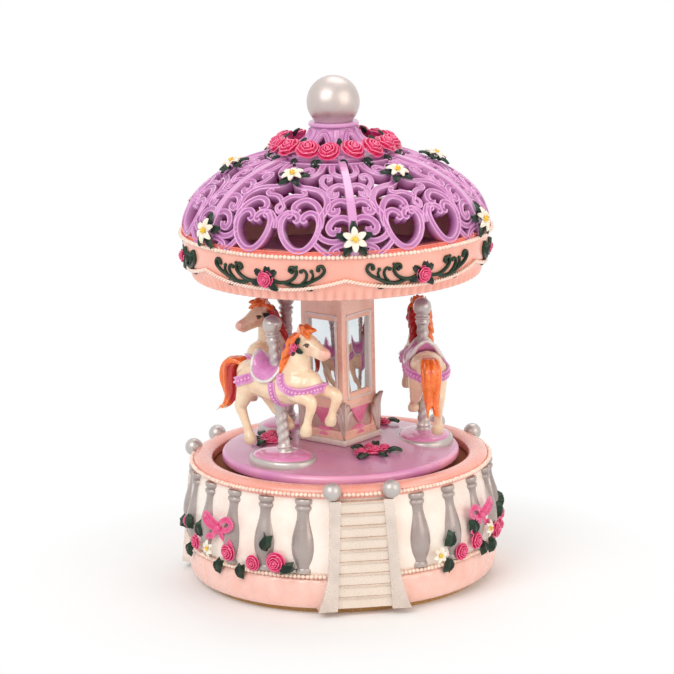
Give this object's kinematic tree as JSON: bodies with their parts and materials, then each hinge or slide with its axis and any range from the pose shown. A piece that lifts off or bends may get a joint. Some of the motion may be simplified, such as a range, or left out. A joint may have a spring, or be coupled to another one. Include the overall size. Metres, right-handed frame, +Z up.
{
  "type": "carousel music box",
  "caption": "Wind-up carousel music box: a recessed turntable with horses on poles, a mirrored column and a lattice dome turns on a round drum base with relief stairs.",
  "frame": {"origin": "centre of the underside, on the surface the music box stands on", "axes": "+Z up along the axis that the carousel turns about; -Y is the front, with the front staircase a little to its right"},
  "size_m": [0.1136, 0.1124, 0.1741],
  "materials": {
    "cream_resin": "satin painted resin",
    "plinth_pink": "glossy painted resin",
    "pink_resin": "glossy painted resin",
    "pearl_bead": "pearl painted resin",
    "grey_resin": "glossy painted resin",
    "champagne": "pearl champagne paint on resin",
    "silver_ball": "silver paint on resin",
    "rose_pink": "glossy painted resin",
    "lily_white": "glossy painted resin",
    "leaf_green": "glossy painted resin",
    "bow_pink": "glossy painted resin",
    "tan_felt": "pressed felt",
    "dark_board": "moulded board",
    "zinc_screw": "zinc plated",
    "brass": "machined",
    "bed_zinc": "die cast",
    "comb_steel": "ground",
    "mauve_resin": "glossy painted resin",
    "spring_steel": "oiled",
    "column_pearl": "pearl painted resin",
    "mirror": "silvered sheet",
    "panel_pink": "pearl painted resin",
    "silver_paint": "silver paint on resin",
    "horse_cream": "satin painted resin",
    "mane_orange": "glossy painted resin",
    "saddle_pink": "glossy painted resin",
    "pad_pink": "glossy painted resin",
    "band_peach": "glossy painted resin",
    "rope_pearl": "pearl painted resin",
    "orchid_resin": "glossy painted resin"
  },
  "bodies": {
    "base": {"base_drum": "cream_resin", "plinth_skirt": "plinth_pink", "top_rim": "pink_resin", "base_beads": "pearl_bead", "balusters": "grey_resin", "staircases": "champagne", "newel_balls": "silver_ball", "garland_roses": "rose_pink", "garland_lilies": "lily_white", "garland_leaves": "leaf_green", "garland_bows": "bow_pink", "felt_ring": "tan_felt", "movement_board": "dark_board", "board_screws": "zinc_screw", "deck_bush": "brass", "movement_bedplate": "bed_zinc", "movement_screws": "zinc_screw", "comb": "comb_steel", "governor_frame": "bed_zinc"},
    "carousel": {"turntable": "mauve_resin", "output_shaft": "zinc_screw", "great_wheel": "brass", "spring_barrel": "brass", "mainspring": "spring_steel", "column_frame": "column_pearl", "column_mirrors": "mirror", "column_panels": "panel_pink", "acanthus_leaves": "silver_paint", "horse_a_body": "horse_cream", "horse_a_mane": "mane_orange", "horse_a_saddle": "saddle_pink", "horse_b_body": "horse_cream", "horse_b_mane": "mane_orange", "horse_b_saddle": "saddle_pink", "horse_c_body": "horse_cream", "horse_c_mane": "mane_orange", "horse_c_saddle": "saddle_pink", "horse_poles": "silver_paint", "horse_pads": "pad_pink", "platform_roses": "rose_pink", "platform_leaves": "leaf_green", "canopy_band": "band_peach", "canopy_deck": "pink_resin", "canopy_beads": "pearl_bead", "rope_string": "rope_pearl", "vine_scrolls": "leaf_green", "dome_lattice": "orchid_resin", "dome_crown": "orchid_resin", "canopy_roses": "rose_pink", "canopy_lilies": "lily_white", "canopy_leaves": "leaf_green", "finial_ball": "silver_ball"},
    "cylinder": {"music_cylinder": "brass"},
    "governor_gear": {"governor_wheel": "brass"},
    "fly": {"governor_fly": "comb_steel"},
    "key": {"winding_arbor": "zinc_screw", "winding_key": "brass"}
  },
  "joints": [
    {"name": "carousel_spin", "type": "hinge", "parent": "base", "child": "carousel", "pos_m": [0, 0, 0.038], "axis": [0, 0, 1], "continuous": true},
    {"name": "cylinder_spin", "type": "hinge", "parent": "base", "child": "cylinder", "pos_m": [0.0373, 0, 0.02839], "axis": [1, 0, 0], "continuous": true},
    {"name": "governor_gear_spin", "type": "hinge", "parent": "base", "child": "governor_gear", "pos_m": [0.0373, -0.00654, 0.02839], "axis": [1, 0, 0], "continuous": true},
    {"name": "fly_spin", "type": "hinge", "parent": "base", "child": "fly", "pos_m": [0.0336, -0.01323, 0.0341], "axis": [0, 0, 1], "continuous": true},
    {"name": "key_wind", "type": "hinge", "parent": "base", "child": "key", "pos_m": [0, 0, 0.0138], "axis": [0, 0, 1], "range_deg": [0, 1440]}
  ],
  "couplings": [
    {"joint": "cylinder_spin", "follows": "carousel_spin", "ratio": 3},
    {"joint": "governor_gear_spin", "follows": "carousel_spin", "ratio": -9},
    {"joint": "fly_spin", "follows": "carousel_spin", "ratio": -216}
  ]
}
